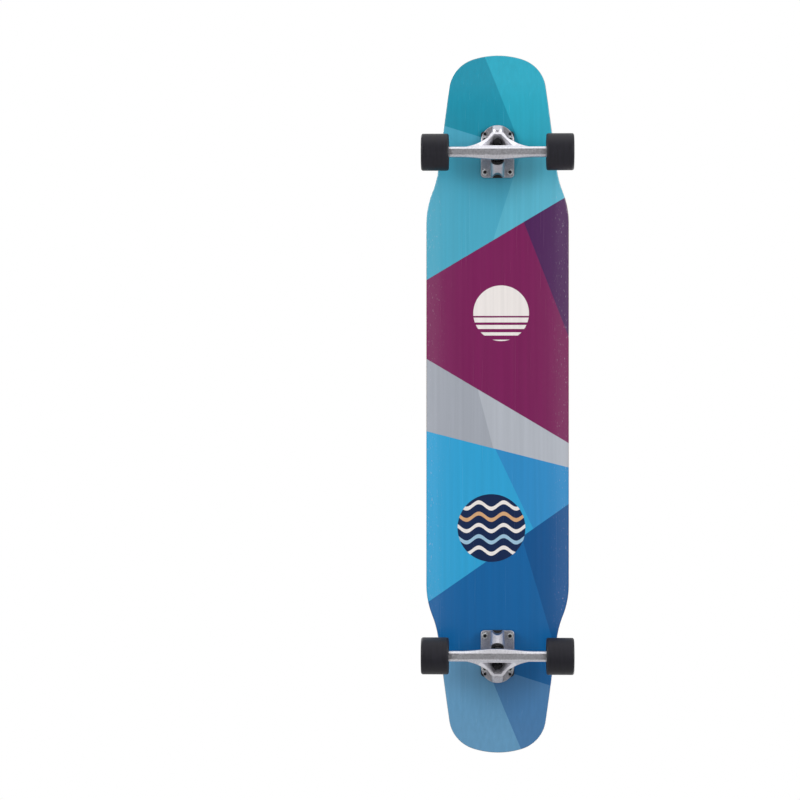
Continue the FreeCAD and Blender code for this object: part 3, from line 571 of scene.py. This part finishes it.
def bushing_profile(height, foot_radius, head_radius):
    """The outline of a bushing: a bore, rounded rims, and a side in short steps."""
    rim = bushing_edge_round
    side = []
    for i in range(side_steps + 1):
        share = i / side_steps
        radius = foot_radius + (head_radius - foot_radius) * share
        side.append((radius, rim + (height - 2 * rim) * share))
    angles = [math.pi / 2 * i / rim_steps for i in range(rim_steps + 1)]
    low = [(foot_radius - rim + rim * math.sin(a), rim - rim * math.cos(a)) for a in angles[:-1]]
    high = [(head_radius - rim + rim * math.cos(a), height - rim + rim * math.sin(a)) for a in angles[1:]]
    return [(bushing_bore, 0)] + low + side + high + [(bushing_bore, height)]


road_bushing_end = road_bushing_radius - road_bushing_taper
for truck in ("front", "rear"):
    joint = joints[f"{truck}_steer"]
    ring = Vector(joint["pos_m"])
    axis = Vector(joint["axis"])
    road_way = Vector((axis.z * math.copysign(1, axis.x), 0, -abs(axis.x)))
    stack = (
        ("board_side_bushing", -1, board_bushing_height, board_bushing_radius, board_bushing_radius),
        ("road_side_bushing", 1, road_bushing_height, road_bushing_radius, road_bushing_end),
    )
    for name, side, height, ring_radius, washer_radius in stack:
        way = road_way * side
        at_ring = ring + way * ring_half
        profile = bushing_profile(height, ring_radius, washer_radius)
        piece = lathe(f"{truck}_{name}_soft", profile, at_ring, way, "bushing_urethane")
        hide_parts(f"{truck}_{name}")
        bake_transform(piece)


# Floor, light and camera

floor_reach = 60.0
floor_fade = (0.5, 2.6)
floor_pale = 0.88
shade_reach = 0.25
shade_depth = 0.15
shade_samples = 8

# What metal sees: levels at the tail's side, at the nose's side and behind the camera, with the
# directions between which they change
around_ends = (-0.8, 0.8)
tail_glow, nose_glow = 0.75, 1.0
camera_ends = (-0.94, -0.6)
camera_glow = 0.15
all_round_glow = 0.42

board_middle = (0, 0, 0.1)
softbox_aim = (0, 0, -0.10)


def pale_floor():
    """A pale floor, darkened close to the object by a painted shadow, that fades to white.

    It only shades what is behind it, so a wheel that dips below it stays in view. From below it is clear.
    """
    mesh = bpy.data.meshes.new("floor")
    corners = [(-1, -1, 0), (1, -1, 0), (1, 1, 0), (-1, 1, 0)]
    mesh.from_pydata([Vector(corner) * floor_reach for corner in corners], [], [(0, 1, 2, 3)])
    floor = bpy.data.objects.new("floor", mesh)
    bpy.context.scene.collection.objects.link(floor)
    material = bpy.data.materials.new("pale_floor")
    material.use_nodes = True
    tree = material.node_tree
    place = add(tree, "ShaderNodeTexCoord", {}).outputs["Object"]
    off = add(tree, "ShaderNodeVectorMath", {0: place}, operation="LENGTH").outputs["Value"]
    fade = {0: off, 1: floor_fade[0], 2: floor_fade[1], 3: floor_pale, 4: 1.0}
    pale = add(tree, "ShaderNodeMapRange", fade, interpolation_type="SMOOTHSTEP").outputs[0]
    nearby = {"Distance": shade_reach}
    openness = add(tree, "ShaderNodeAmbientOcclusion", nearby, samples=shade_samples).outputs["AO"]
    depth = {0: openness, 1: 0.0, 2: 1.0, 3: shade_depth, 4: 1.0}
    shade = add(tree, "ShaderNodeMapRange", depth).outputs[0]
    level = add(tree, "ShaderNodeMath", {0: pale, 1: shade}, operation="MULTIPLY").outputs[0]
    behind = add(tree, "ShaderNodeNewGeometry", {}).outputs["Backfacing"]
    level = add(tree, "ShaderNodeMix", {0: behind, 2: level, 3: 1.0}).outputs[0]
    clear = add(tree, "ShaderNodeBsdfTransparent", {"Color": level})
    tree.links.new(clear.outputs[0], tree.nodes["Material Output"].inputs[0])
    mesh.materials.append(material)
    floor.visible_shadow = False
    floor.visible_diffuse = False
    floor.visible_glossy = False


def studio_world():
    """White behind the object. Metal sees a studio that dims at the tail's side and behind the camera."""
    world = bpy.data.worlds.new("studio")
    bpy.context.scene.world = world
    world.use_nodes = True
    tree = world.node_tree
    path = add(tree, "ShaderNodeLightPath", {}).outputs
    way = add(tree, "ShaderNodeTexCoord", {}).outputs["Generated"]
    split = add(tree, "ShaderNodeSeparateXYZ", {0: way}).outputs
    lengthwise = {0: split[0], 1: around_ends[0], 2: around_ends[1], 3: tail_glow, 4: nose_glow}
    around = add(tree, "ShaderNodeMapRange", lengthwise).outputs[0]
    downwards = {0: split[2], 1: camera_ends[0], 2: camera_ends[1], 3: camera_glow, 4: 1.0}
    off_camera = add(tree, "ShaderNodeMapRange", downwards).outputs[0]
    glow = add(tree, "ShaderNodeMath", {0: around, 1: off_camera}, operation="MULTIPLY").outputs[0]
    lit = add(tree, "ShaderNodeMix", {0: path["Is Glossy Ray"], 2: all_round_glow, 3: glow}).outputs[0]
    level = add(tree, "ShaderNodeMix", {0: path["Is Camera Ray"], 2: lit, 3: 1.0}).outputs[0]
    tree.links.new(level, tree.nodes["Background"].inputs["Strength"])
    tree.nodes["Background"].inputs["Color"].default_value = (1, 1, 1, 1)


def lamp(name, place, aim, size, watts):
    """A soft rectangular lamp that shines from a place to an aim, and that the camera doesn't see."""
    data = bpy.data.lights.new(name, "AREA")
    data.shape = "RECTANGLE"
    data.size, data.size_y = size
    data.energy = watts
    light = bpy.data.objects.new(name, data)
    light.location = place
    light.visible_camera = False
    light.rotation_euler = (Vector(aim) - Vector(place)).to_track_quat("-Z", "Y").to_euler()
    bpy.context.scene.collection.objects.link(light)


def main_camera():
    """A camera under the board, nose up, turned to put the board's middle at its place in the picture."""
    data = bpy.data.cameras.new("camera")
    data.lens = camera_lens_mm
    data.sensor_width = sensor_mm
    data.clip_end = camera_far
    camera = bpy.data.objects.new("camera", data)
    bpy.context.scene.collection.objects.link(camera)
    focal_px = camera_lens_mm / sensor_mm * picture_px
    off_right = (board_centre_px[0] - picture_px / 2) / focal_px
    off_up = (picture_px / 2 - board_centre_px[1]) / focal_px
    forward = Vector((-off_up, -off_right, 1)).normalized()
    right = Vector((0, 1, 0))
    up = forward.cross(right) * -1
    right = forward.cross(up)
    turn = Matrix((right, up, -forward)).transposed()
    camera.matrix_world = Matrix.Translation((0, 0, -camera_drop)) @ turn.to_4x4()
    bpy.context.scene.camera = camera


pale_floor()
studio_world()
lamp("left_key_below", (1.0, -2.5, -1.7), board_middle, (1.4, 1.0), 38)
lamp("right_key_below", (1.0, 2.5, -1.7), board_middle, (1.4, 1.0), 38)
lamp("left_strip_below", (0, -0.85, -2.6), board_middle, (2.6, 0.3), 6)
lamp("right_strip_below", (0, 0.85, -2.6), board_middle, (2.6, 0.3), 6)
lamp("nose_softbox", (2.2, 0.0, -0.15), softbox_aim, (1.6, 0.9), 3.6)
lamp("key_from_above", (1.2, -1.4, 2.2), board_middle, (1.4, 1.4), 27)
lamp("fill_from_above", (-1.4, 1.2, 2.0), board_middle, (1.6, 1.6), 15)
main_camera()
bpy.context.scene.view_settings.view_transform = "Standard"
